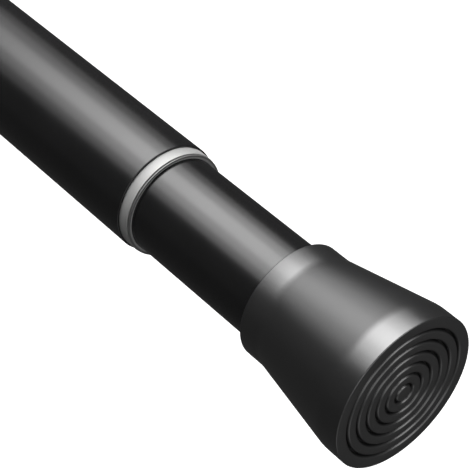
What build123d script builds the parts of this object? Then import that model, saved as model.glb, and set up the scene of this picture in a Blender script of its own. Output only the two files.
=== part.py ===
from build123d import *
import math
import os

# Spring tension rod, drawn along +X from the centre of the outer foot's wall face, in millimetres.

# Tubes
outer_tube_od = 25.0
inner_tube_od = 22.0
tube_wall = 0.8
outer_tube_length = 668.8
exposed_run = 36.1
mouth_chamfer = 0.2

# Clearances
fixed_gap = 0.02
running_gap = 0.06
glide_gap = 0.1
stop_gap = 0.3

# Feet
foot_length = 31.4
foot_floor = 4.0
foot_face_radius = 16.8
foot_rim_length = 5.1
foot_collar_length = 5.1
foot_collar_wall = 2.0
foot_blend_radius = 10.0
groove_count = 6
groove_pitch = 2.39
first_groove_radius = 2.08
groove_width = 1.46
groove_throat_width = 0.9
groove_floor_width = 0.8
groove_shoulder = 0.25
groove_depth = 0.8

# Plugs under the feet
plug_flange = 1.5
plug_depth = 14.5
plug_wall = 1.6
plug_floor = 2.0
crush_rib_count = 6
crush_rib_width = 1.6
crush_rib_height = 0.35

# Trim at the mouth
ring_band_length = 2.85
ring_bead_length = 0.35
ring_wall = 0.45
ring_bead_wall = 0.25
ring_chamfer = 0.1
bush_recess = 0.15
bush_depth = 14.0
bush_nose_step = 0.1

# Lock stud and its hardware
collapse_gap = 11.0
stud_radius = 3.0
thread_pitch = 1.0
lock_turns = 4.0
stud_lead = 1.5
stud_grip = 12.0
clip_thickness = 1.0
clip_radius = 6.2
clip_opening = 4.4
clip_groove_depth = 0.5
washer_radius = 7.5
washer_thickness = 1.2
nut_across_flats = 10.0
nut_thickness = 5.0

# Expander sleeve and cone nut
sleeve_gap = 0.15
sleeve_length = 36.0
sleeve_base_length = 7.0
sleeve_entry = 3.5
slot_count = 4
slot_width = 2.2
slot_end_gap = 3.0
grip_groove_count = 4
grip_groove_pitch = 3.6
grip_groove_width = 1.2
grip_groove_depth = 0.5
first_grip_groove = 3.0
cone_half_angle = 8.0
cone_nut_length = 14.0
finger_room = 1.95
cone_nut_lead = 0.8
key_length = 10.0
key_tip_gap = 0.55
key_gap = 0.2
locked_gap = 0.08

# Drag ring
drag_section_radius = 1.0
drag_ring_inset = 2.4

# Push rod and spring seat
rod_across_flats = 10.0
rod_key_gap = 0.1
rod_run_out = 27.5
bush_flange = 5.0
bush_spigot = 20.0
seat_side_gap = 0.4
seat_flange = 2.5
seat_boss = 3.0
seat_boss_gap = 0.35
stub_tail = 1.5

# Rivets and pin
rivet_radius = 1.25
rivet_depth = 4.2
pin_radius = 1.5

# Spring
wire_radius = 1.0
coil_side_gap = 0.95
spring_length = 92.0
active_turns = 14
closed_turns = 1
stop_plug_length = 16.0

# Radii that follow from the tubes
outer_radius = outer_tube_od / 2
outer_bore = outer_radius - tube_wall
inner_radius = inner_tube_od / 2
inner_bore = inner_radius - tube_wall
bush_nose_radius = outer_bore - fixed_gap - bush_nose_step
sleeve_radius = outer_bore - sleeve_gap
cone_nut_radius = sleeve_radius - finger_room
key_reach = sleeve_radius - key_tip_gap
seat_radius = inner_bore - seat_side_gap
coil_radius = inner_bore - wire_radius - coil_side_gap
seat_boss_radius = coil_radius - wire_radius - seat_boss_gap

# Places along the rod, from the outer foot to the inner foot
x_outer_tube = foot_floor + plug_flange
x_mouth = x_outer_tube + outer_tube_length
x_stud = x_outer_tube + plug_depth + collapse_gap
x_stud_clip = x_stud + stud_lead
x_cone_nut = x_stud_clip + clip_thickness + stop_gap
x_sleeve = x_cone_nut + sleeve_entry
x_sleeve_end = x_sleeve + sleeve_length
x_sleeve_base = x_sleeve_end - sleeve_base_length
x_sleeve_clip = x_sleeve_base - clip_thickness - running_gap
x_washer = x_sleeve_end + running_gap
x_jam_nut = x_washer + washer_thickness + fixed_gap
x_rod = x_jam_nut + nut_thickness + fixed_gap
x_end_bush = x_rod + rod_run_out
x_inner_tube = x_end_bush + bush_flange
x_end_bush_tail = x_inner_tube + bush_spigot
x_seat = x_end_bush_tail + stop_gap
x_seat_nut = x_seat + seat_flange + fixed_gap
x_spring = x_seat + seat_flange + running_gap
x_stop_plug = x_spring + spring_length
x_ring_bead = x_mouth + ring_band_length
x_ring_front = x_ring_bead + ring_bead_length
x_inner_foot_back = x_ring_front + exposed_run
x_inner_face = x_inner_foot_back + foot_length
x_inner_tube_end = x_inner_face - foot_floor - plug_flange

nut_travel = thread_pitch * lock_turns
cone_slope = math.tan(math.radians(cone_half_angle))


def turned(outline):
    """Solid turned about the rod's axis from a closed outline of (x, radius) points."""
    return revolve(make_face(Polyline(*outline, close=True)), Axis.X)


def tube(x_start, x_end, radius, bore):
    """Plain hollow cylinder along the rod's axis."""
    return turned([(x_start, bore), (x_end, bore), (x_end, radius), (x_start, radius)])


def rod(x_start, x_end, radius):
    """Plain solid cylinder along the rod's axis."""
    return turned([(x_start, 0), (x_end, 0), (x_end, radius), (x_start, radius)])


def hexagon(x_start, x_end, across_flats):
    """Hexagonal bar along the rod's axis."""
    section = Plane.YZ.offset(x_start) * RegularPolygon(across_flats / 2, 6, major_radius=False)
    return extrude(section, x_end - x_start)


def spokes(x_start, x_end, count, width, inner_reach, outer_reach):
    """Evenly spaced flat blades that stand out from the axis."""
    length = x_end - x_start
    depth = outer_reach - inner_reach
    blade = Pos(x_start + length / 2, 0, inner_reach + depth / 2) * Box(length, width, depth)
    return [Rot(X=360 * i / count) * blade for i in range(count)]


def groove_points(x_face):
    """Outline of the wall face from the rim to the centre, with its concentric grooves."""
    points = []
    for i in reversed(range(groove_count)):
        centre = first_groove_radius + i * groove_pitch
        points.append((x_face, centre + groove_width / 2))
        points.append((x_face - groove_shoulder, centre + groove_throat_width / 2))
        points.append((x_face - groove_depth, centre + groove_floor_width / 2))
        points.append((x_face - groove_depth, centre - groove_floor_width / 2))
        points.append((x_face - groove_shoulder, centre - groove_throat_width / 2))
        points.append((x_face, centre - groove_width / 2))
    return points


def foot(tube_radius):
    """Moulded foot with its back edge at x = 0 and its wall face at x = foot_length.

    The flank is a collar, a cone and a rim, joined by large blends. The tube and its plug sit in
    the socket, against the floor.
    """
    collar_radius = tube_radius + foot_collar_wall
    socket_radius = tube_radius + fixed_gap
    flank = FilletPolyline(
        (0, collar_radius),
        (foot_collar_length, collar_radius),
        (foot_length - foot_rim_length, foot_face_radius),
        (foot_length, foot_face_radius),
        radius=foot_blend_radius,
    )
    face_points = groove_points(foot_length)
    rest = Polyline(
        (foot_length, foot_face_radius),
        *face_points,
        (foot_length, 0),
        (foot_length - foot_floor, 0),
        (foot_length - foot_floor, socket_radius),
        (0, socket_radius),
        (0, collar_radius),
    )
    return revolve(make_face([flank, rest]), Axis.X)


def end_plug(tube_radius, tube_bore):
    """Moulded cup with a flange at x = 0 that closes a tube end; its spigot points to +X."""
    body_radius = tube_bore - fixed_gap - crush_rib_height
    cavity_radius = body_radius - plug_wall
    flange_end = plug_flange
    tail = plug_flange + plug_depth
    cup = turned(
        [
            (0, 0),
            (0, tube_radius),
            (flange_end, tube_radius),
            (flange_end, body_radius),
            (tail, body_radius),
            (tail, cavity_radius),
            (plug_floor, cavity_radius),
            (plug_floor, 0),
        ]
    )
    ribs = spokes(
        flange_end,
        tail - plug_wall,
        crush_rib_count,
        crush_rib_width,
        body_radius - plug_wall / 2,
        tube_bore + crush_rib_height,
    )
    limit = rod(0, tail, tube_bore - fixed_gap)
    return cup + [rib & limit for rib in ribs]


def facing_left(shape):
    """The same shape turned end for end, so that it points to -X."""
    return Rot(Z=180) * shape


def outer_tube():
    """Thicker tube, chamfered at its mouth."""
    return turned(
        [
            (x_outer_tube, outer_bore),
            (x_mouth, outer_bore),
            (x_mouth, outer_radius - mouth_chamfer),
            (x_mouth - mouth_chamfer, outer_radius),
            (x_outer_tube, outer_radius),
        ]
    )


def trim_ring():
    """Turned band on the bush's nose, with a narrow bead in front of it."""
    x_back = x_mouth + fixed_gap
    ring_bore = bush_nose_radius + fixed_gap
    band_radius = ring_bore + ring_wall
    bead_radius = ring_bore + ring_bead_wall
    return turned(
        [
            (x_back, ring_bore),
            (x_ring_front, ring_bore),
            (x_ring_front, bead_radius - ring_chamfer),
            (x_ring_front - ring_chamfer, bead_radius),
            (x_ring_bead, bead_radius),
            (x_ring_bead, band_radius - ring_chamfer),
            (x_ring_bead - ring_chamfer, band_radius),
            (x_back + ring_chamfer, band_radius),
            (x_back, band_radius - ring_chamfer),
        ]
    )


def guide_bush():
    """Liner pressed into the mouth; its nose carries the trim ring and stops just inside it."""
    bush_bore = inner_radius + running_gap
    x_tip = x_ring_front - bush_recess
    return turned(
        [
            (x_mouth - bush_depth, bush_bore),
            (x_tip, bush_bore),
            (x_tip, bush_nose_radius),
            (x_mouth, bush_nose_radius),
            (x_mouth, outer_bore - fixed_gap),
            (x_mouth - bush_depth, outer_bore - fixed_gap),
        ]
    )


def cone_radius(x):
    """Radius of the cone nut's flank at a place along the rod, with the lock open."""
    return cone_nut_radius - (x - x_cone_nut) * cone_slope


def expander_sleeve():
    """Slotted sleeve: fingers with a taper inside, on a solid base that runs on the stud."""
    radius = sleeve_radius
    flank_gap = nut_travel * cone_slope + locked_gap
    x_taper_end = x_cone_nut + cone_nut_length + nut_travel + stop_gap
    taper_start = cone_radius(x_sleeve) + flank_gap
    taper_end = cone_radius(x_taper_end) + flank_gap
    drag_centre = x_sleeve_end - drag_ring_inset
    groove_radius = outer_bore - running_gap - 2 * drag_section_radius
    body = turned(
        [
            (x_sleeve, taper_start),
            (x_taper_end, taper_end),
            (x_sleeve_base, taper_end),
            (x_sleeve_base, stud_radius + running_gap),
            (x_sleeve_end, stud_radius + running_gap),
            (x_sleeve_end, radius),
            (drag_centre + drag_section_radius, radius),
            (drag_centre + drag_section_radius, groove_radius),
            (drag_centre - drag_section_radius, groove_radius),
            (drag_centre - drag_section_radius, radius),
            (x_sleeve, radius),
        ]
    )
    x_slot_end = x_sleeve_base - slot_end_gap
    slots = []
    for blade in spokes(x_sleeve - stop_gap, x_slot_end, slot_count, slot_width, 0, outer_radius):
        slots.append(blade)
    for i in range(slot_count):
        relief = Cylinder(slot_width * 0.75, outer_radius, align=(Align.CENTER, Align.CENTER, Align.MIN))
        slots.append(Rot(X=360 * i / slot_count) * (Pos(x_slot_end, 0, 0) * relief))
    for i in range(grip_groove_count):
        centre = x_sleeve + first_grip_groove + i * grip_groove_pitch
        slots.append(
            turned(
                [
                    (centre - grip_groove_width / 2, radius + grip_groove_depth),
                    (centre - grip_groove_width / 2, radius),
                    (centre, radius - grip_groove_depth),
                    (centre + grip_groove_width / 2, radius),
                    (centre + grip_groove_width / 2, radius + grip_groove_depth),
                ]
            )
        )
    return body - slots


def drag_ring():
    """Rubber ring in the sleeve's groove that drags on the outer tube's bore."""
    ring_radius = outer_bore - running_gap - drag_section_radius
    centre = x_sleeve_end - drag_ring_inset
    section = Pos(centre, ring_radius) * Circle(drag_section_radius - fixed_gap)
    return revolve(section, Axis.X)


def cone_nut():
    """Conical nut with a key for each of the sleeve's slots."""
    x_end = x_cone_nut + cone_nut_length
    bore = stud_radius + running_gap
    cone = turned(
        [
            (x_cone_nut, bore + cone_nut_lead),
            (x_cone_nut + cone_nut_lead, bore),
            (x_end, bore),
            (x_end, cone_radius(x_end)),
            (x_cone_nut, cone_radius(x_cone_nut)),
        ]
    )
    keys = spokes(
        x_cone_nut,
        x_cone_nut + key_length,
        slot_count,
        slot_width - 2 * key_gap,
        bore + cone_nut_lead,
        key_reach,
    )
    return cone + keys


def lock_stud():
    """Threaded stud with a groove for each clip; its head end screws into the push rod."""
    grooves = [
        tube(x, x + clip_thickness, stud_radius + 1, stud_radius - clip_groove_depth)
        for x in (x_stud_clip, x_sleeve_clip)
    ]
    return rod(x_stud, x_rod + stud_grip, stud_radius) - grooves


def open_clip(x_start):
    """Open spring clip that snaps into a groove of the stud."""
    x_end = x_start + clip_thickness - fixed_gap
    ring = tube(x_start + fixed_gap, x_end, clip_radius, stud_radius - clip_groove_depth + fixed_gap)
    mouth = spokes(x_start - 1, x_end + 1, 1, clip_opening, 0, clip_radius + 1)
    return ring - mouth


def hex_nut(x_start, bore):
    """Hexagon nut with chamfered corners."""
    x_end = x_start + nut_thickness
    corner_radius = nut_across_flats / 2 / math.cos(math.radians(30))
    chamfer = corner_radius - nut_across_flats / 2
    rise = chamfer * math.tan(math.radians(30))
    crown = turned(
        [
            (x_start, 0),
            (x_start, nut_across_flats / 2),
            (x_start + rise, corner_radius),
            (x_end - rise, corner_radius),
            (x_end, nut_across_flats / 2),
            (x_end, 0),
        ]
    )
    hole = rod(x_start - 1, x_end + 1, bore)
    return (hexagon(x_start, x_end, nut_across_flats) & crown) - hole


def push_rod():
    """Hexagonal bar with a socket for the stud and a threaded stub for the spring seat."""
    socket = rod(x_rod - 1, x_rod + stud_grip + fixed_gap, stud_radius + fixed_gap)
    stub_end = x_seat_nut + nut_thickness + stub_tail
    bar_part = hexagon(x_rod, x_seat, rod_across_flats) - socket
    return bar_part + rod(x_seat, stub_end, stud_radius)


def spring_seat():
    """Flanged seat on the push rod's stub, with a boss that centres the spring."""
    bore = stud_radius + fixed_gap
    nut_pocket = nut_across_flats / 2 / math.cos(math.radians(30)) + stop_gap
    return turned(
        [
            (x_seat + fixed_gap, bore),
            (x_seat + seat_flange, bore),
            (x_seat + seat_flange, nut_pocket),
            (x_seat + seat_flange + seat_boss, nut_pocket),
            (x_seat + seat_flange + seat_boss, seat_boss_radius),
            (x_seat + seat_flange, seat_boss_radius),
            (x_seat + seat_flange, seat_radius),
            (x_seat + fixed_gap, seat_radius),
        ]
    )


def coil(x_start, pitch, turns):
    """Part of the spring: a round wire carried along a helix about the rod's axis.

    The wire's round section lies in the plane through the axis, so that stretches of different
    pitch meet face to face.
    """
    path = Helix(pitch, pitch * turns, coil_radius, center=(x_start, 0, 0), direction=(1, 0, 0))
    start = path @ 0
    outwards = start - Vector(x_start, 0, 0)
    section_plane = Plane(origin=start, x_dir=(1, 0, 0), z_dir=Vector(1, 0, 0).cross(outwards))
    return sweep(section_plane * Circle(wire_radius), path=path, is_frenet=True)


def spring():
    """Compression spring with one closed turn ground flat at each end."""
    closed_pitch = 2 * wire_radius + fixed_gap
    closed_length = closed_pitch * closed_turns
    active_length = spring_length - 2 * closed_length
    x_active = x_spring + closed_length
    x_last = x_active + active_length
    wire = coil(x_spring, closed_pitch, closed_turns)
    wire += coil(x_active, active_length / active_turns, active_turns)
    wire += coil(x_last, closed_pitch, closed_turns)
    envelope = rod(x_spring, x_stop_plug - fixed_gap, coil_radius + 2 * wire_radius)
    return wire & envelope


def tube_end_bush():
    """Keyed bush for the push rod, with a flange that glides in the outer tube."""
    glide_radius = outer_bore - glide_gap
    spigot_radius = inner_bore - fixed_gap
    body = turned(
        [
            (x_end_bush, 0),
            (x_end_bush, glide_radius - mouth_chamfer),
            (x_end_bush + mouth_chamfer, glide_radius),
            (x_inner_tube - fixed_gap, glide_radius),
            (x_inner_tube - fixed_gap, spigot_radius),
            (x_end_bush_tail, spigot_radius),
            (x_end_bush_tail, 0),
        ]
    )
    key_bore = hexagon(x_end_bush - 1, x_end_bush_tail + 1, rod_across_flats + 2 * rod_key_gap)
    return body - key_bore - rivet_shanks(fixed_gap)


def rivet_shanks(gap):
    """The two rivets' shanks, one on each side, grown by gap for their holes."""
    x_rivet = (x_inner_tube + x_end_bush_tail) / 2
    tip = inner_radius - rivet_depth - gap
    shank = Cylinder(rivet_radius + gap, rivet_depth + 2 * gap, align=(Align.CENTER, Align.CENTER, Align.MIN))
    return [Rot(X=180 * i) * (Pos(x_rivet, 0, tip) * shank) for i in range(2)]


def stop_pin(gap):
    """Cross pin through the tube and the stop plug, grown by gap for its hole."""
    x_pin = x_stop_plug + stop_plug_length / 2
    pin = Cylinder(pin_radius + gap, 2 * inner_radius + 4 * gap)
    return Pos(x_pin, 0, 0) * pin


def within_tube(shape):
    """The part of a shape inside the inner tube's outer surface."""
    return shape & rod(x_end_bush, x_inner_face, inner_radius - fixed_gap)


def inner_tube():
    """Thinner tube, with holes for the bush's rivets and the stop plug's pin."""
    body = tube(x_inner_tube, x_inner_tube_end, inner_radius, inner_bore)
    return body - rivet_shanks(fixed_gap) - stop_pin(fixed_gap)


def spring_stop_plug():
    """Plug that the spring pushes on, with a boss inside the spring's last turn."""
    radius = inner_bore - fixed_gap
    boss_tip = x_stop_plug - seat_boss
    body = turned(
        [
            (boss_tip, 0),
            (boss_tip, seat_boss_radius - mouth_chamfer),
            (boss_tip + mouth_chamfer, seat_boss_radius),
            (x_stop_plug, seat_boss_radius),
            (x_stop_plug, radius),
            (x_stop_plug + stop_plug_length, radius),
            (x_stop_plug + stop_plug_length, 0),
        ]
    )
    return body - stop_pin(fixed_gap)


def build_parts():
    """Every piece of the rod by its name."""
    inner_plug = facing_left(end_plug(inner_radius, inner_bore))
    return {
        "outer_foot": Pos(foot_length, 0, 0) * facing_left(foot(outer_radius)),
        "outer_end_plug": Pos(foot_floor, 0, 0) * end_plug(outer_radius, outer_bore),
        "outer_tube": outer_tube(),
        "trim_ring": trim_ring(),
        "guide_bush": guide_bush(),
        "expander_sleeve": expander_sleeve(),
        "drag_ring": drag_ring(),
        "cone_nut": cone_nut(),
        "lock_stud": lock_stud(),
        "stud_end_clip": open_clip(x_stud_clip),
        "sleeve_clip": open_clip(x_sleeve_clip),
        "thrust_washer": tube(x_washer, x_washer + washer_thickness, washer_radius, stud_radius + running_gap),
        "jam_nut": hex_nut(x_jam_nut, stud_radius + fixed_gap),
        "push_rod": push_rod(),
        "spring_seat": spring_seat(),
        "seat_nut": hex_nut(x_seat_nut, stud_radius + fixed_gap),
        "spring": spring(),
        "inner_tube": inner_tube(),
        "tube_end_bush": tube_end_bush(),
        "bush_rivets": Compound([within_tube(shank) for shank in rivet_shanks(0)]),
        "spring_stop_plug": spring_stop_plug(),
        "stop_plug_pin": within_tube(stop_pin(0)),
        "inner_end_plug": Pos(x_inner_face - foot_floor, 0, 0) * inner_plug,
        "inner_foot": Pos(x_inner_foot_back, 0, 0) * foot(inner_radius),
    }


os.makedirs("parts", exist_ok=True)
for name, shape in build_parts().items():
    export_step(shape, f"parts/{name}.step")
print(f"length at rest {x_inner_face:.1f} mm")
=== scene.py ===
"""Looks of a spring tension rod: two black telescopic tubes, a silver trim ring and flared feet.

Every length is in metres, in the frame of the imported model: +X runs along the rod from the outer
foot's wall face to the inner foot, and +Z is up. Shapes are surfaces of two parameters, worked out
as whole numpy arrays: mostly an outline (x, radius) turned about the rod's axis.
"""

import logging
import math
from dataclasses import dataclass, field
from enum import Enum

import bpy
import numpy as np
from mathutils import Matrix, Vector


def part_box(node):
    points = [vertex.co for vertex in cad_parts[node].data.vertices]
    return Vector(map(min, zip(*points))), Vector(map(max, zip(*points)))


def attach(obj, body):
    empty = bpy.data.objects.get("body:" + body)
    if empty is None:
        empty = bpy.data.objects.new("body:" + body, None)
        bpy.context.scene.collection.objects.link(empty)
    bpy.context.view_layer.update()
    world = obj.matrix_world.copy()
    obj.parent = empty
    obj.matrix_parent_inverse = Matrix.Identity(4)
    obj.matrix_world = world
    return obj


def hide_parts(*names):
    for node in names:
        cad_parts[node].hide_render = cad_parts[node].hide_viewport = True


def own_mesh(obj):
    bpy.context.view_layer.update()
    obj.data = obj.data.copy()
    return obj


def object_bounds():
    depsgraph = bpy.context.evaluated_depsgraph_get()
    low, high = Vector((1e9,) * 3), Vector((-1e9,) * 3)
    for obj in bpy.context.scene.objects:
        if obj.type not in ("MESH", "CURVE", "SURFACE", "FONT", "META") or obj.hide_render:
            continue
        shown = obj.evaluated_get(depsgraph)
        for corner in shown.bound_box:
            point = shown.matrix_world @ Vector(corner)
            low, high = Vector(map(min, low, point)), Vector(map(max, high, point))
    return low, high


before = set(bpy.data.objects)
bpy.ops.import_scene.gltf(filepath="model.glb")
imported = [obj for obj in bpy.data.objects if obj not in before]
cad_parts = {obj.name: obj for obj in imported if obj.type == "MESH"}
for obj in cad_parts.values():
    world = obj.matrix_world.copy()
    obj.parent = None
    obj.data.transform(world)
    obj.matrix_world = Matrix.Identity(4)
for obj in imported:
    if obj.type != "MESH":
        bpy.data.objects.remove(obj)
cad_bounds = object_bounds()

MM = 0.001
TURN = 2 * math.pi
STRAIGHT = 1e-6
NOISE_LOW, NOISE_HIGH = 0.3, 0.7
log = logging.getLogger("tension_rod")


class Facing(Enum):
    """Which way a foot's wall face looks along the rod."""

    OUTWARD_X = 1
    AGAINST_X = -1


class Lathe(Enum):
    """How the two ends of a turned outline are joined."""

    RING = "the outline closes on itself, away from the axis"
    POLES = "the outline starts and ends on the axis"


def rounded_outline(
    corners: list[tuple[float, float, float]], steps: int = 6, closed: bool = False
) -> np.ndarray:
    """Rounds the corners of an outline with circular arcs.

    At a corner with turn angle a, the arc of radius R starts and ends R*tan(a/2) from the corner,
    and its points are the corner's first tangent point swept about the arc's centre. A corner that
    turns by less than 2*STRAIGHT stays a point.

    Args:
        corners: points as (x, radius, rounding), in order.
        steps: points that each rounded corner gets.
        closed: True where the last point joins the first.

    Returns:
        An array of (x, radius) points.
    """
    points = np.array([corner[:2] for corner in corners], float)
    pieces = []
    count = len(points)
    for index, (_, _, rounding) in enumerate(corners):
        here = points[index]
        if rounding <= 0 or (not closed and index in (0, count - 1)):
            pieces.append(here[None])
            continue
        back = points[index - 1] - here
        ahead = points[(index + 1) % count] - here
        back = back / np.linalg.norm(back)
        ahead = ahead / np.linalg.norm(ahead)
        half = math.acos(float(np.clip(back @ ahead, -1, 1))) / 2
        if math.pi / 2 - half < STRAIGHT:
            pieces.append(here[None])
            continue
        middle = (back + ahead) / np.linalg.norm(back + ahead)
        centre = here + middle * rounding / math.sin(half)
        start = here + back * rounding / math.tan(half) - centre
        sweep = math.pi - 2 * half
        side = -math.copysign(1.0, float(start[0] * middle[1] - start[1] * middle[0]))
        angles = np.linspace(0, sweep, steps) * side
        turned_x = start[0] * np.cos(angles) - start[1] * np.sin(angles)
        turned_r = start[0] * np.sin(angles) + start[1] * np.cos(angles)
        pieces.append(centre + np.stack([turned_x, turned_r], 1))
    return np.concatenate(pieces)


def grid_faces(rows: int, columns: int, wrap_rows: bool, wrap_columns: bool) -> np.ndarray:
    """Quads of a grid of points, where point (i, j) has the number i*columns + j.

    Args:
        rows: points along the first parameter.
        columns: points along the second parameter.
        wrap_rows: True where the last row joins the first.
        wrap_columns: True where the last column joins the first.

    Returns:
        An array of four point numbers for each quad.
    """
    i = np.arange(rows if wrap_rows else rows - 1)[:, None]
    j = np.arange(columns if wrap_columns else columns - 1)[None, :]
    next_i = (i + 1) % rows
    next_j = (j + 1) % columns
    corners = (i * columns + j, next_i * columns + j, next_i * columns + next_j, i * columns + next_j)
    return np.stack(np.broadcast_arrays(*corners), -1).reshape(-1, 4)


def mesh_piece(
    name: str, points: np.ndarray, faces: list[np.ndarray], sharp_deg: float = 35.0
) -> bpy.types.Object:
    """Makes a smooth-shaded mesh object at the origin.

    Args:
        name: the piece's name.
        points: an array of x, y, z.
        faces: arrays of point numbers, one row to a face; rows of one array are equally long.
        sharp_deg: edges that turn by more than this stay sharp.

    Returns:
        The new object.
    """
    rows = [row for block in faces for row in block.tolist()]
    mesh = bpy.data.meshes.new(name)
    mesh.from_pydata(points.tolist(), [], rows)
    mesh.polygons.foreach_set("use_smooth", np.ones(len(rows), bool))
    mesh.update()
    mesh.set_sharp_from_angle(angle=math.radians(sharp_deg))
    piece = bpy.data.objects.new(name, mesh)
    bpy.context.scene.collection.objects.link(piece)
    return piece


def turned_piece(name: str, outline: np.ndarray, form: Lathe, segments: int = 256) -> bpy.types.Object:
    """Turns an outline about the rod's axis.

    Point (i, j) lies at (x_i, r_i*cos t_j, r_i*sin t_j), with t_j evenly spaced over a full turn.
    The outline runs anticlockwise in the (x, radius) plane, so that faces point outwards.

    Args:
        name: the piece's name.
        outline: (x, radius) points.
        form: whether the outline is a ring or ends in poles.
        segments: steps around the axis.

    Returns:
        The new object.
    """
    angle = np.arange(segments) * TURN / segments
    body = outline if form is Lathe.RING else outline[1:-1]
    x = np.broadcast_to(body[:, :1], (len(body), segments))
    y = body[:, 1:] * np.cos(angle)
    z = body[:, 1:] * np.sin(angle)
    points = np.stack([x, y, z], -1).reshape(-1, 3)
    faces = [grid_faces(len(body), segments, form is Lathe.RING, True)]
    if form is Lathe.POLES:
        first, last = len(points), len(points) + 1
        points = np.vstack([points, [outline[0, 0], 0, 0], [outline[-1, 0], 0, 0]])
        j = np.arange(segments)
        following = (j + 1) % segments
        top = (len(body) - 1) * segments
        faces.append(np.stack([np.full(segments, first), j, following], 1))
        faces.append(np.stack([np.full(segments, last), top + following, top + j], 1))
    return mesh_piece(name, points, faces)


def bar_faces(rows: int, around: int) -> list[np.ndarray]:
    """Faces of a closed bar, where point (i, j) is point j of ring i, with a cap at each end.

    Args:
        rows: rings along the bar.
        around: points in a ring, anticlockwise as seen from beyond the last ring.

    Returns:
        The sides' quads, then the first and the last cap.
    """
    ring = np.arange(around)
    sides = grid_faces(rows, around, False, True)[:, ::-1]
    return [sides, ring[None, ::-1], (ring + (rows - 1) * around)[None]]


def swept_wire(
    name: str, centre: np.ndarray, radius: float, low_x: float, high_x: float, around: int = 16
) -> bpy.types.Object:
    """Carries a round section along a coil about the rod's axis, with its ends ground flat.

    The section's point at angle p is centre + radius*(cos p * outwards + sin p * along), where
    outwards is the unit vector from the axis and along is +X. Points past low_x or high_x are
    brought back to them.

    Args:
        name: the piece's name.
        centre: (x, angle, distance from the axis) along the coil.
        radius: the wire's radius.
        low_x: the ground face at the lower end.
        high_x: the ground face at the upper end.
        around: points in a section.

    Returns:
        The new object.
    """
    p = np.arange(around) * TURN / around
    x, angle, distance = centre[:, :1], centre[:, 1:2], centre[:, 2:3]
    reach = distance + radius * np.cos(p)
    along = np.clip(x + radius * np.sin(p), low_x, high_x)
    points = np.stack([along, reach * np.cos(angle), reach * np.sin(angle)], -1).reshape(-1, 3)
    return mesh_piece(name, points, bar_faces(len(centre), around))


class Graph:
    """A material's node tree, with short calls for what the finishes share.

    MIX_FIRST, MIX_SECOND and MIX_RESULT number the colour sockets of a mix node.
    """

    MIX_FIRST, MIX_SECOND, MIX_RESULT = 6, 7, 2

    def __init__(self, name: str) -> None:
        """Starts a material with a Principled shader.

        Args:
            name: the material's name.
        """
        self.material = bpy.data.materials.new(name)
        self.material.use_nodes = True
        self.tree = self.material.node_tree
        self.shader = self.tree.nodes["Principled BSDF"]

    def node(self, kind: str, **settings: object) -> bpy.types.Node:
        """Adds a node and sets its properties.

        Args:
            kind: the node's type name.
            settings: properties by name.

        Returns:
            The new node.
        """
        made = self.tree.nodes.new(kind)
        for key, value in settings.items():
            setattr(made, key, value)
        return made

    def link(self, source: bpy.types.NodeSocket, target: bpy.types.NodeSocket) -> None:
        """Joins an output to an input."""
        self.tree.links.new(source, target)

    def noise(
        self, stretch: tuple[float, float, float], detail: float = 2.0, rough: float = 0.5
    ) -> bpy.types.NodeSocket:
        """Adds noise on the piece's own coordinates.

        Args:
            stretch: how many noise cells fit in a metre, along X, Y and Z.
            detail: octaves of the noise.
            rough: how strong each finer octave is.

        Returns:
            The noise's value, from 0 to 1.
        """
        place = self.node("ShaderNodeTexCoord")
        scale = self.node("ShaderNodeMapping")
        scale.inputs["Scale"].default_value = stretch
        made = self.node("ShaderNodeTexNoise")
        made.inputs["Scale"].default_value = 1.0
        made.inputs["Detail"].default_value = detail
        made.inputs["Roughness"].default_value = rough
        self.link(place.outputs["Object"], scale.inputs["Vector"])
        self.link(scale.outputs["Vector"], made.inputs["Vector"])
        return made.outputs["Fac"]

    def ranged(self, value: bpy.types.NodeSocket, low: float, high: float) -> bpy.types.NodeSocket:
        """Spreads a noise value, which keeps near 0.5, over a range.

        Args:
            value: the noise.
            low: result where the noise is NOISE_LOW.
            high: result where the noise is NOISE_HIGH.

        Returns:
            The result.
        """
        made = self.node("ShaderNodeMapRange")
        ends = {"From Min": NOISE_LOW, "From Max": NOISE_HIGH, "To Min": low, "To Max": high}
        for name, number in ends.items():
            made.inputs[name].default_value = number
        self.link(value, made.inputs["Value"])
        return made.outputs["Result"]

    def blended(self, value: bpy.types.NodeSocket, first: tuple, second: tuple) -> bpy.types.NodeSocket:
        """Mixes two colours by a noise value.

        Args:
            value: the noise.
            first: colour where the noise is NOISE_LOW.
            second: colour where the noise is NOISE_HIGH.

        Returns:
            The colour.
        """
        made = self.node("ShaderNodeMix", data_type="RGBA")
        made.inputs[self.MIX_FIRST].default_value = (*first, 1)
        made.inputs[self.MIX_SECOND].default_value = (*second, 1)
        self.link(self.ranged(value, 0.0, 1.0), made.inputs[0])
        return made.outputs[self.MIX_RESULT]

    def bump(self, height: bpy.types.NodeSocket, strength: float, distance: float) -> None:
        """Adds a bump to the shader's normal, on top of any that it has.

        Args:
            height: the height, from 0 to 1.
            strength: the bump's strength.
            distance: the height of 1, in metres.
        """
        made = self.node("ShaderNodeBump")
        made.inputs["Strength"].default_value = strength
        made.inputs["Distance"].default_value = distance
        self.link(height, made.inputs["Height"])
        normal = self.shader.inputs["Normal"]
        if normal.is_linked:
            self.link(normal.links[0].from_socket, made.inputs["Normal"])
        self.link(made.outputs["Normal"], normal)


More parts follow.
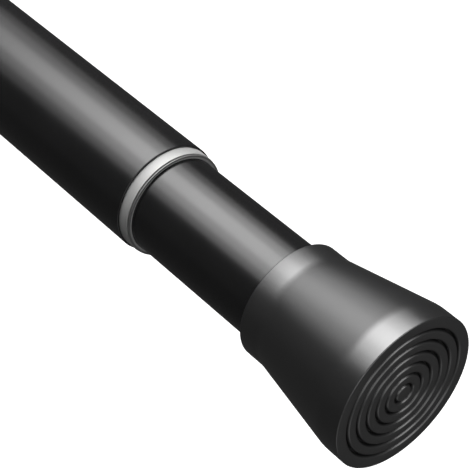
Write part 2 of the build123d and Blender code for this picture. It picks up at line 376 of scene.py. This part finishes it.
@dataclass(frozen=True)
class Finish:
    """A surface finish. Colours are linear, cells count noise cells in a metre, heights are metres."""

    name: str
    slot: str
    colour: tuple[float, float, float]
    second_colour: tuple[float, float, float]
    roughness: tuple[float, float]
    specular: float = 0.5
    metallic: float = 0.0
    ior: float = 1.5
    cloud_cells: float = 60.0

    def build(self) -> bpy.types.Material:
        """Makes the material from its colours, roughness and own surface texture.

        Returns:
            The material.
        """
        graph = Graph(self.name)
        graph.shader.inputs["Metallic"].default_value = self.metallic
        graph.shader.inputs["Specular IOR Level"].default_value = self.specular
        graph.shader.inputs["IOR"].default_value = self.ior
        cloud = graph.noise((self.cloud_cells,) * 3, detail=3.0)
        graph.link(graph.blended(cloud, self.colour, self.second_colour), graph.shader.inputs["Base Color"])
        graph.link(graph.ranged(cloud, *self.roughness), graph.shader.inputs["Roughness"])
        self.texture(graph)
        return graph.material

    def texture(self, graph: Graph) -> None:
        """Adds the surface's relief. A plain finish has none."""


@dataclass(frozen=True)
class PaintFinish(Finish):
    """Baked paint on drawn tube: a faint orange peel over faint draw lines."""

    peel_cells: float = 620.0
    peel_height: float = 3e-6
    line_cells: float = 1500.0
    line_run_cells: float = 6.0
    line_height: float = 8e-7

    def texture(self, graph: Graph) -> None:
        """Adds the orange peel and the lines that run along the tube.

        Args:
            graph: the material's node tree.
        """
        peel = graph.noise((self.peel_cells,) * 3, detail=1.0)
        graph.bump(peel, 1.0, self.peel_height)
        lines = graph.noise((self.line_run_cells, self.line_cells, self.line_cells), detail=1.0)
        graph.bump(lines, 1.0, self.line_height)


@dataclass(frozen=True)
class MouldedFinish(Finish):
    """Moulded plastic or rubber with the fine spark texture of its tool."""

    grain_cells: float = 5200.0
    grain_height: float = 1.5e-6
    wave_cells: float = 180.0
    wave_height: float = 4e-6

    def texture(self, graph: Graph) -> None:
        """Adds the fine grain and a slow waviness.

        Args:
            graph: the material's node tree.
        """
        grain = graph.noise((self.grain_cells,) * 3, detail=2.0, rough=0.7)
        graph.bump(grain, 1.0, self.grain_height)
        wave = graph.noise((self.wave_cells,) * 3, detail=1.0)
        graph.bump(wave, 1.0, self.wave_height)


@dataclass(frozen=True)
class BrushedFinish(Finish):
    """Metal brushed around the rod's axis, with fine lines that keep their place along it."""

    line_cells: float = 9000.0
    drift_cells: float = 120.0
    line_height: float = 5e-6
    stretch: float = 0.55

    def texture(self, graph: Graph) -> None:
        """Adds brush lines around the axis and stretches the highlights across them.

        Args:
            graph: the material's node tree.
        """
        stretch = (self.line_cells, self.drift_cells, self.drift_cells)
        lines = graph.noise(stretch, detail=3.0, rough=0.65)
        graph.bump(lines, 1.0, self.line_height)
        graph.shader.inputs["Anisotropic"].default_value = self.stretch
        tangent = graph.node("ShaderNodeTangent", direction_type="RADIAL", axis="X")
        graph.link(tangent.outputs["Tangent"], graph.shader.inputs["Tangent"])


@dataclass(frozen=True)
class PlatedFinish(Finish):
    """Zinc plate or drawn wire: a soft metal with patchy crystals."""

    patch_cells: float = 1400.0
    patch_height: float = 3e-6

    def texture(self, graph: Graph) -> None:
        """Adds the patchy relief."""
        patches = graph.noise((self.patch_cells,) * 3, detail=4.0, rough=0.6)
        graph.bump(patches, 1.0, self.patch_height)


FINISHES = {
    finish.name: finish
    for finish in (
        PaintFinish(
            "tube_paint", "tube_paint", (0.0040, 0.0040, 0.0042), (0.0055, 0.0055, 0.0058),
            (0.22, 0.25), specular=0.8,
        ),
        MouldedFinish(
            "foot_rubber", "foot_rubber", (0.0040, 0.0040, 0.0042), (0.0055, 0.0055, 0.0058),
            (0.29, 0.33), specular=1.0, ior=1.74,
        ),
        BrushedFinish(
            "brushed_ring", "brushed_ring", (0.45, 0.45, 0.445), (0.51, 0.51, 0.505),
            (0.57, 0.63), metallic=1.0,
        ),
        # The bead is the same brushed metal as the band. Its colour is set at about half the band's, which
        # is painted shade on the bead.
        BrushedFinish(
            "bead_shaded_metal", "brushed_ring", (0.24, 0.24, 0.238), (0.29, 0.29, 0.287),
            (0.50, 0.56), metallic=1.0,
        ),
        MouldedFinish("bush_satin", "bush_plastic", (0.30, 0.30, 0.30), (0.35, 0.35, 0.35), (0.36, 0.42)),
        MouldedFinish(
            "plug_plastic", "plug_plastic", (0.020, 0.020, 0.021), (0.026, 0.026, 0.027),
            (0.45, 0.55),
        ),
        MouldedFinish("lock_nylon", "lock_nylon", (0.62, 0.61, 0.55), (0.70, 0.69, 0.63), (0.38, 0.46)),
        MouldedFinish(
            "drag_rubber", "drag_rubber", (0.012, 0.012, 0.012), (0.018, 0.018, 0.018),
            (0.55, 0.65),
        ),
        PlatedFinish(
            "zinc_steel", "zinc_steel", (0.50, 0.51, 0.53), (0.60, 0.61, 0.62),
            (0.24, 0.34), metallic=1.0,
        ),
        PlatedFinish(
            "spring_steel", "spring_steel", (0.30, 0.30, 0.31), (0.40, 0.40, 0.41),
            (0.22, 0.32), metallic=1.0,
        ),
        PlatedFinish(
            "rivet_aluminium", "rivet_aluminium", (0.62, 0.62, 0.63), (0.70, 0.70, 0.71),
            (0.28, 0.36), metallic=1.0,
        ),
    )
}


class Workshop:
    """Makes each material once, and dresses pieces with them."""

    def __init__(self) -> None:
        """Starts with no materials made."""
        self.made: dict[str, bpy.types.Material] = {}

    def material(self, name: str) -> bpy.types.Material:
        """The material of a finish, made at its first use.

        Args:
            name: the finish's name.

        Returns:
            The material.
        """
        if name not in self.made:
            self.made[name] = FINISHES[name].build()
        return self.made[name]

    def dress(self, piece: bpy.types.Object, body: str, finish: str, *nodes: str) -> bpy.types.Object:
        """Gives a new piece its finish, its body and the nodes that it stands for.

        Args:
            piece: the piece.
            body: the body that it moves with.
            finish: the finish's name.
            nodes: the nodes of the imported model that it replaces.

        Returns:
            The piece.
        """
        piece.data.materials.append(self.material(finish))
        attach(piece, body)
        if nodes:
            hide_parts(*nodes)
        log.info("%s rides on %s, %d faces", piece.name, body, len(piece.data.polygons))
        return piece

    def paint_node(self, node: str, finish: str) -> None:
        """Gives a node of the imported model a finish.

        Args:
            node: the node's name.
            finish: the finish's name.
        """
        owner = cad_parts[node]
        owner.data.materials.clear()
        owner.data.materials.append(self.material(finish))
        log.info("%s wears %s", node, finish)


@dataclass
class Foot:
    """A moulded foot: collar, cone and rim, with concentric grooves in its wall face.

    A groove is a V of groove_width at the face, with round shoulders, which runs down to
    groove_depth and goes on as a crease of even width to crease_depth.
    """

    name: str
    node: str
    body: str
    facing: Facing
    tube_radius: float
    rim_length: float = 5.1 * MM
    collar_length: float = 5.1 * MM
    flank_blend: float = 10.0 * MM
    edge_round: float = 0.25 * MM
    groove_count: int = 6
    groove_pitch: float = 2.39 * MM
    first_groove: float = 2.06 * MM
    groove_width: float = 0.83 * MM
    groove_depth: float = 0.5 * MM
    shoulder_round: float = 0.36 * MM
    crease_width: float = 0.13 * MM
    crease_depth: float = 0.9 * MM
    floor: float = 4.0 * MM
    collar_wall: float = 2.0 * MM

    def outline(self) -> np.ndarray:
        """The foot's closed section with its wall face at x = 0 and its collar towards -X.

        Returns:
            (x, radius) points from the face's centre round the back to the socket's floor.
        """
        low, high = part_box(self.node)
        length = high.x - low.x
        face_radius = high.z
        socket = self.tube_radius
        half_width, half_crease = self.groove_width / 2, self.crease_width / 2
        corners = [(0.0, 0.0, 0.0)]
        for index in range(self.groove_count):
            centre = self.first_groove + index * self.groove_pitch
            corners += [
                (0.0, centre - half_width, self.shoulder_round),
                (-self.groove_depth, centre - half_crease, 0.0),
                (-self.crease_depth, centre - half_crease, 0.0),
                (-self.crease_depth, centre + half_crease, 0.0),
                (-self.groove_depth, centre + half_crease, 0.0),
                (0.0, centre + half_width, self.shoulder_round),
            ]
        collar = socket + self.collar_wall
        corners += [
            (0.0, face_radius, self.edge_round),
            (-self.rim_length, face_radius, self.flank_blend),
            (self.collar_length - length, collar, self.flank_blend),
            (-length, collar, self.edge_round),
            (-length, socket, self.edge_round),
            (-self.floor, socket, self.edge_round),
            (-self.floor, 0.0, 0.0),
        ]
        return rounded_outline(corners, steps=9)

    def build(self, shop: Workshop) -> None:
        """Makes the foot and dresses it.

        Args:
            shop: where its finish comes from.
        """
        low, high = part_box(self.node)
        outline = self.outline()
        if self.facing is Facing.OUTWARD_X:
            outline[:, 0] += high.x
        else:
            outline[:, 0] = low.x - outline[:, 0]
            outline = outline[::-1]
        piece = turned_piece(self.name, outline, Lathe.POLES)
        shop.dress(piece, self.body, "foot_rubber", self.node)


@dataclass
class TubeSkin:
    """A drawn tube with softly broken edges."""

    name: str
    node: str
    body: str
    wall: float = 0.8 * MM
    edge_round: float = 0.18 * MM

    def build(self, shop: Workshop) -> None:
        """Makes the tube and dresses it.

        Args:
            shop: where its finish comes from.
        """
        low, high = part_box(self.node)
        radius = high.z
        bore = radius - self.wall
        corners = [
            (low.x, bore, self.edge_round),
            (low.x, radius, self.edge_round),
            (high.x, radius, self.edge_round),
            (high.x, bore, self.edge_round),
        ]
        outline = rounded_outline(corners, steps=5, closed=True)
        piece = turned_piece(self.name, outline[::-1], Lathe.RING)
        shop.dress(piece, self.body, "tube_paint", self.node)


@dataclass
class MouthTrim:
    """The silver ring at the outer tube's mouth, and the bush just inside it.

    The ring is a band, a fine slot and a narrow bead in front of the slot.
    """

    body: str = "outer_assembly"
    band_length: float = 2.85 * MM
    bead_drop: float = 0.1 * MM
    slot_width: float = 0.2 * MM
    slot_depth: float = 0.35 * MM
    band_round: float = 0.1 * MM
    lip_round: float = 0.1 * MM
    bush_bore: float = 11.06 * MM
    nose_radius: float = 11.58 * MM

    def build(self, shop: Workshop) -> None:
        """Makes the band, the bead and the bush, and dresses them.

        Args:
            shop: where their finishes come from.
        """
        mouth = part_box("outer_tube")[1].x
        bead = mouth + self.band_length
        slot = bead - self.slot_width
        shop.dress(self.ring("trim_band", self.band(slot)), self.body, "brushed_ring", "trim_ring")
        # The bead wears a darker copy of the band's metal: painted shade, not a different finish.
        shop.dress(self.ring("trim_bead", self.bead(slot, bead)), self.body, "bead_shaded_metal")
        shop.dress(self.ring("mouth_bush", self.bush(mouth)), self.body, "bush_satin", "guide_bush")

    def ring(self, name: str, corners: list[tuple[float, float, float]]) -> bpy.types.Object:
        """Turns a closed section, given clockwise, about the rod's axis.

        Args:
            name: the piece's name.
            corners: the section's (x, radius, rounding).

        Returns:
            The new object.
        """
        return turned_piece(name, rounded_outline(corners, closed=True)[::-1], Lathe.RING)

    def band(self, slot: float) -> list[tuple[float, float, float]]:
        """The band's section, from the tube's mouth to the slot.

        Args:
            slot: x of the slot's far side.

        Returns:
            Its corners.
        """
        low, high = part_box("trim_ring")
        return [
            (low.x, self.nose_radius, 0.0),
            (low.x, high.z, self.band_round),
            (slot, high.z, self.band_round),
            (slot, self.nose_radius, 0.0),
        ]

    def bead(self, slot: float, bead: float) -> list[tuple[float, float, float]]:
        """The bead's section, with the slot's floor behind it.

        Args:
            slot: x of the slot's far side.
            bead: x of the slot's near side.

        Returns:
            Its corners.
        """
        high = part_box("trim_ring")[1]
        return [
            (slot, self.nose_radius, 0.0),
            (slot, high.z - self.slot_depth, 0.0),
            (bead, high.z - self.slot_depth, 0.0),
            (bead, high.z - self.bead_drop, self.band_round),
            (high.x, high.z - self.bead_drop, self.band_round),
            (high.x, self.nose_radius, 0.0),
        ]

    def bush(self, mouth: float) -> list[tuple[float, float, float]]:
        """The bush's section: a sleeve in the tube's bore and a thinner nose in the ring.

        Args:
            mouth: x of the outer tube's end.

        Returns:
            Its corners.
        """
        low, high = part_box("guide_bush")
        return [
            (low.x, self.bush_bore, self.lip_round),
            (low.x, high.z, self.lip_round),
            (mouth, high.z, 0.0),
            (mouth, self.nose_radius, 0.0),
            (high.x, self.nose_radius, self.lip_round),
            (high.x, self.bush_bore, self.lip_round),
        ]


@dataclass
class LockCartridge:
    """The twist lock inside the outer tube: its stud gets a real thread, the rest wears its finish."""

    pitch: float = 1.0 * MM
    thread_depth: float = 0.55 * MM
    end_bevel: float = 0.8 * MM
    around: int = 24
    rows_per_pitch: int = 8

    def build(self, shop: Workshop) -> None:
        """Makes the threaded stud and dresses the lock's other pieces.

        Args:
            shop: where their finishes come from.
        """
        low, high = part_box("lock_stud")
        stud = self.thread("lock_thread", low.x, high.x, high.z)
        shop.dress(stud, "screw", "zinc_steel", "lock_stud")
        for node in ("thrust_washer", "jam_nut", "push_rod", "spring_seat", "seat_nut"):
            shop.paint_node(node, "zinc_steel")
        for node in ("stud_end_clip", "sleeve_clip"):
            shop.paint_node(node, "spring_steel")
        for node in ("expander_sleeve", "cone_nut"):
            shop.paint_node(node, "lock_nylon")
        shop.paint_node("drag_ring", "drag_rubber")

    def thread(self, name: str, start: float, end: float, radius: float) -> bpy.types.Object:
        """Makes a threaded bar along the axis.

        At place x and angle t, the radius is the major radius less depth times a triangle wave of
        x/pitch - t/turn, and it shrinks to the core over a bevel at each end.

        Args:
            name: the piece's name.
            start: lowest x.
            end: highest x.
            radius: the major radius.

        Returns:
            The new object.
        """
        rows = int((end - start) / self.pitch * self.rows_per_pitch)
        x = np.linspace(start, end, rows)[:, None]
        t = (np.arange(self.around) * TURN / self.around)[None]
        phase = (x / self.pitch - t / TURN) % 1.0
        wave = np.abs(2 * phase - 1)
        into = np.minimum(x - start, end - x)
        bevel = np.clip(1 - into / self.end_bevel, 0, 1)
        r = radius - self.thread_depth * np.maximum(wave, bevel)
        points = np.stack([np.broadcast_to(x, r.shape), r * np.cos(t), r * np.sin(t)], -1).reshape(-1, 3)
        return mesh_piece(name, points, bar_faces(rows, self.around), sharp_deg=60.0)


@dataclass
class SprungEnd:
    """The inner tube's hidden end: bush, rivets, spring, stop plug and pin.

    pressed_share is the spring's length with the foot pressed in, as a share of its length at rest. It is
    not used.
    """

    wire_radius: float = 1.0 * MM
    coil_radius: float = 8.25 * MM
    active_turns: int = 14
    pressed_share: float = 68.0 / 92.0
    points_per_turn: int = 40

    def build(self, shop: Workshop) -> None:
        """Makes the spring and dresses the pieces round it.

        Args:
            shop: where their finishes come from.
        """
        low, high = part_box("spring")
        helix = self.centre_line(low.x, high.x)
        coil = swept_wire("coil_spring", helix, self.wire_radius, low.x, high.x)
        shop.dress(coil, "inner_assembly", "spring_steel", "spring")
        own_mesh(coil)
        for node in ("tube_end_bush", "spring_stop_plug"):
            shop.paint_node(node, "lock_nylon")
        shop.paint_node("bush_rivets", "rivet_aluminium")
        shop.paint_node("stop_plug_pin", "spring_steel")

    def centre_line(self, start: float, end: float) -> np.ndarray:
        """The coil's centre line: a helix with one closed turn at each end.

        The angle grows evenly, and x grows by a wire's width over a closed turn and by an even
        share of what is left over each active turn.

        Args:
            start: the spring's lowest x.
            end: the spring's highest x.

        Returns:
            Rows of x, angle and distance from the axis.
        """
        turns = self.active_turns + 2
        t = np.linspace(0, turns, turns * self.points_per_turn)
        closed = 2 * self.wire_radius
        x = np.interp(t, [0, 1, turns - 1, turns], [start, start + closed, end - closed, end])
        return np.stack([x, -t * TURN, np.full_like(t, self.coil_radius)], 1)


@dataclass(frozen=True)
class FaceLamp:
    """A soft lamp that looks at the inner foot's wall face from in front.

    The tubes never mirror these lamps to the camera. Each lies where one side of the face's grooves
    mirrors it, and so draws part of the thin light lines.
    """

    name: str
    direction: tuple[float, float, float]
    distance: float
    size: tuple[float, float]
    watts: float


@dataclass
class Studio:
    """Pale floor, plain soft lamps and the camera at the photograph's angle.

    The camera is placed from the inner foot's wall face, whose centre lies right, down and forward
    of the camera by face_offset. side_steps holds a width and a share for each nested lamp of the
    main light, and reach_steps a reach in degrees and a share. direct, mirror and ambient values
    say how strongly rays see the white backdrop.
    """

    azimuth_deg: float = 50.19
    elevation_deg: float = 42.48
    face_offset: tuple[float, float, float] = (0.030905, 0.029034, 0.300598)
    lens_mm: float = 126.14
    sensor_mm: float = 36.0
    clip_start: float = 0.01
    floor_drop: float = 0.75
    floor_size: float = 14.0
    floor_grey: float = 0.85
    softbox_distance: float = 1.02
    softbox_spacing: float = 0.02
    softbox_level: float = 4.75
    softbox_aside: float = 0.097
    near_lean_deg: float = -1.4
    side_steps: tuple[tuple[float, float], ...] = ((0.5, 0.37), (1.25, 0.32), (2.2, 0.31))
    reach_steps: tuple[tuple[float, float], ...] = ((33.5, 0.39), (40.0, 0.35), (62.0, 0.26))
    ambient: float = 0.06
    mirror_world: float = 0.09
    mirror_floor: float = 0.065
    floor_direct: float = 0.91
    face_lamps: tuple[FaceLamp, ...] = (
        FaceLamp("front_top", (0.72, 0.30, 0.60), 1.0, (0.7, 0.6), 2.5),
        FaceLamp("front_side", (0.80, -0.45, 0.32), 1.0, (0.9, 0.8), 1.5),
        FaceLamp("front_low", (0.58, -0.30, -0.74), 0.8, (0.6, 0.5), 0.25),
        FaceLamp("front_core", (1.0, 0.10, 0.0), 0.6, (0.5, 0.45), 0.3),
        FaceLamp("front_wide", (0.978, 0.0, -0.208), 0.6, (2.4, 2.4), 1.1),
    )

    def build(self) -> None:
        """Makes the camera, the world, the floor and the lamps."""
        scene = bpy.context.scene
        scene.view_settings.view_transform = "Standard"
        face = Vector((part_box("inner_foot")[1].x, 0, 0))
        self.camera(scene, face)
        self.world(scene)
        self.floor()
        self.softbox(face)
        for lamp in self.face_lamps:
            self.lamp(lamp.name, face, lamp.direction, lamp.distance, lamp.size, lamp.watts)

    def softbox(self, face: Vector) -> None:
        """Hangs the main light: nested lamps, so that it fades at its sides and towards the far end.

        A lamp spans from near_lean_deg to its reach, both angles from straight up towards -X, and
        its radiance is softbox_level * side share * reach share. Watts are 4 * area * radiance. The
        lamps hang at slightly different distances, so that mirror rays meet each of them.

        Args:
            face: centre of the inner foot's wall face.
        """
        distance = self.softbox_distance
        for side, (width, side_share) in enumerate(self.side_steps):
            for reach, (reach_deg, reach_share) in enumerate(self.reach_steps):
                middle = math.radians(self.near_lean_deg + reach_deg) / 2
                half = math.radians(reach_deg - self.near_lean_deg) / 2
                height = 2 * math.tan(half) * distance
                watts = 4 * width * height * self.softbox_level * side_share * reach_share
                direction = (-math.sin(middle), self.softbox_aside, math.cos(middle))
                self.lamp(f"softbox_{side}{reach}", face, direction, distance, (width, height), watts)
                distance += self.softbox_spacing

    def camera(self, scene: bpy.types.Scene, face: Vector) -> None:
        """Places the camera.

        Args:
            scene: the scene that it films.
            face: centre of the inner foot's wall face.
        """
        a, e = math.radians(self.azimuth_deg), math.radians(self.elevation_deg)
        right = Vector((math.cos(a), math.sin(a), 0))
        forward = Vector((-math.sin(a) * math.cos(e), math.cos(a) * math.cos(e), -math.sin(e)))
        up = right.cross(forward)
        across, down, ahead = self.face_offset
        data = bpy.data.cameras.new("photo_camera")
        data.lens = self.lens_mm
        data.sensor_width = self.sensor_mm
        data.clip_start = self.clip_start
        camera = bpy.data.objects.new("photo_camera", data)
        turn = Matrix((right, up, -forward)).transposed().to_4x4()
        place = face - right * across + up * down - forward * ahead
        camera.matrix_world = Matrix.Translation(place) @ turn
        scene.collection.objects.link(camera)
        scene.camera = camera

    def seen_strength(
        self, tree: bpy.types.NodeTree, direct: float, mirror: float, others: float
    ) -> bpy.types.NodeSocket:
        """How strongly a ray sees the white backdrop, by its kind.

        It is the largest of direct * Is Camera Ray, direct * Is Transmission Ray, mirror * Is
        Glossy Ray and others. Mirror rays get a small share: the black tubes keep black flanks in
        the photograph, and a white studio all round would turn them grey.

        Args:
            tree: the node tree that asks.
            direct: strength for camera and transmission rays.
            mirror: strength for glossy rays.
            others: strength for all other rays.

        Returns:
            The strength.
        """
        path = tree.nodes.new("ShaderNodeLightPath")
        shares = (("Is Camera Ray", direct), ("Is Transmission Ray", direct), ("Is Glossy Ray", mirror))
        strength = None
        for ray, share in shares:
            part = tree.nodes.new("ShaderNodeMath")
            part.operation = "MULTIPLY"
            part.inputs[1].default_value = share
            tree.links.new(path.outputs[ray], part.inputs[0])
            largest = tree.nodes.new("ShaderNodeMath")
            largest.operation = "MAXIMUM"
            largest.inputs[1].default_value = others
            tree.links.new(part.outputs[0], largest.inputs[0])
            if strength is not None:
                tree.links.new(strength, largest.inputs[1])
            strength = largest.outputs[0]
        return strength

    def world(self, scene: bpy.types.Scene) -> None:
        """Makes a white background over a dim, even studio.

        Args:
            scene: the scene that it surrounds.
        """
        world = bpy.data.worlds.new("studio")
        world.use_nodes = True
        scene.world = world
        tree = world.node_tree
        background = tree.nodes["Background"]
        background.inputs["Color"].default_value = (1, 1, 1, 1)
        strength = self.seen_strength(tree, 1.0, self.mirror_world, self.ambient)
        tree.links.new(strength, background.inputs["Strength"])

    def floor(self) -> None:
        """Makes a pale floor well below the rod, which keeps the rod's soft shadow.

        Glossy rays see only its dim glow, and all other rays its lit surface too.
        """
        half = self.floor_size / 2
        low, high = cad_bounds
        middle = (low + high) / 2
        ends = [[centre - half, centre + half] for centre in (middle.x, middle.y)]
        x, y = np.meshgrid(*ends, indexing="ij")
        points = np.stack([x, y, np.full_like(x, low.z - self.floor_drop)], -1).reshape(-1, 3)
        floor = mesh_piece("studio_floor", points, [np.array([[0, 2, 3, 1]])])
        graph = Graph("studio_floor")
        graph.shader.inputs["Roughness"].default_value = 1.0
        graph.shader.inputs["Specular IOR Level"].default_value = 0.0
        graph.shader.inputs["Base Color"].default_value = (*(self.floor_grey,) * 3, 1)
        glow = graph.node("ShaderNodeEmission")
        strength = self.seen_strength(graph.tree, self.floor_direct, self.mirror_floor, 0.0)
        graph.link(strength, glow.inputs["Strength"])
        lit = graph.node("ShaderNodeAddShader")
        graph.link(graph.shader.outputs[0], lit.inputs[0])
        graph.link(glow.outputs[0], lit.inputs[1])
        path = graph.node("ShaderNodeLightPath")
        mix = graph.node("ShaderNodeMixShader")
        graph.link(path.outputs["Is Glossy Ray"], mix.inputs[0])
        graph.link(lit.outputs[0], mix.inputs[1])
        graph.link(glow.outputs[0], mix.inputs[2])
        surface = graph.tree.nodes["Material Output"].inputs["Surface"]
        graph.link(mix.outputs[0], surface)
        floor.data.materials.append(graph.material)

    def lamp(
        self,
        name: str,
        target: Vector,
        direction: tuple[float, float, float],
        distance: float,
        size: tuple[float, float],
        watts: float,
    ) -> None:
        """Hangs a soft box that looks at a point.

        Args:
            name: the lamp's name.
            target: the point.
            direction: from the point to the lamp.
            distance: from the point to the lamp.
            size: width and height.
            watts: power.
        """
        data = bpy.data.lights.new(name, "AREA")
        data.shape = "RECTANGLE"
        data.size, data.size_y = size
        data.energy = watts
        lamp = bpy.data.objects.new(name, data)
        lamp.visible_camera = False
        away = Vector(direction).normalized()
        across = (Vector((0, 1, 0)) - away * away.y).normalized()
        turn = Matrix((across, away.cross(across), away)).transposed().to_4x4()
        lamp.matrix_world = Matrix.Translation(target + away * distance) @ turn
        bpy.context.scene.collection.objects.link(lamp)


@dataclass
class TensionRod:
    """The whole rod, from its sub-assemblies."""

    shop: Workshop = field(default_factory=Workshop)

    def build(self) -> None:
        """Makes and dresses every piece."""
        outer, inner = "outer_assembly", "inner_assembly"
        outer_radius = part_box("outer_tube")[1].z
        inner_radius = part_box("inner_tube")[1].z
        TubeSkin("outer_tube_skin", "outer_tube", outer).build(self.shop)
        TubeSkin("inner_tube_skin", "inner_tube", inner).build(self.shop)
        Foot("outer_foot_skin", "outer_foot", outer, Facing.AGAINST_X, outer_radius).build(self.shop)
        Foot("inner_foot_skin", "inner_foot", inner, Facing.OUTWARD_X, inner_radius).build(self.shop)
        MouthTrim().build(self.shop)
        LockCartridge().build(self.shop)
        SprungEnd().build(self.shop)
        for node in ("outer_end_plug", "inner_end_plug"):
            self.shop.paint_node(node, "plug_plastic")


def main() -> None:
    """Builds the studio and the rod."""
    logging.basicConfig(level=logging.INFO, format="%(message)s")
    Studio().build()
    TensionRod().build()


if __name__ == "__main__":
    main()
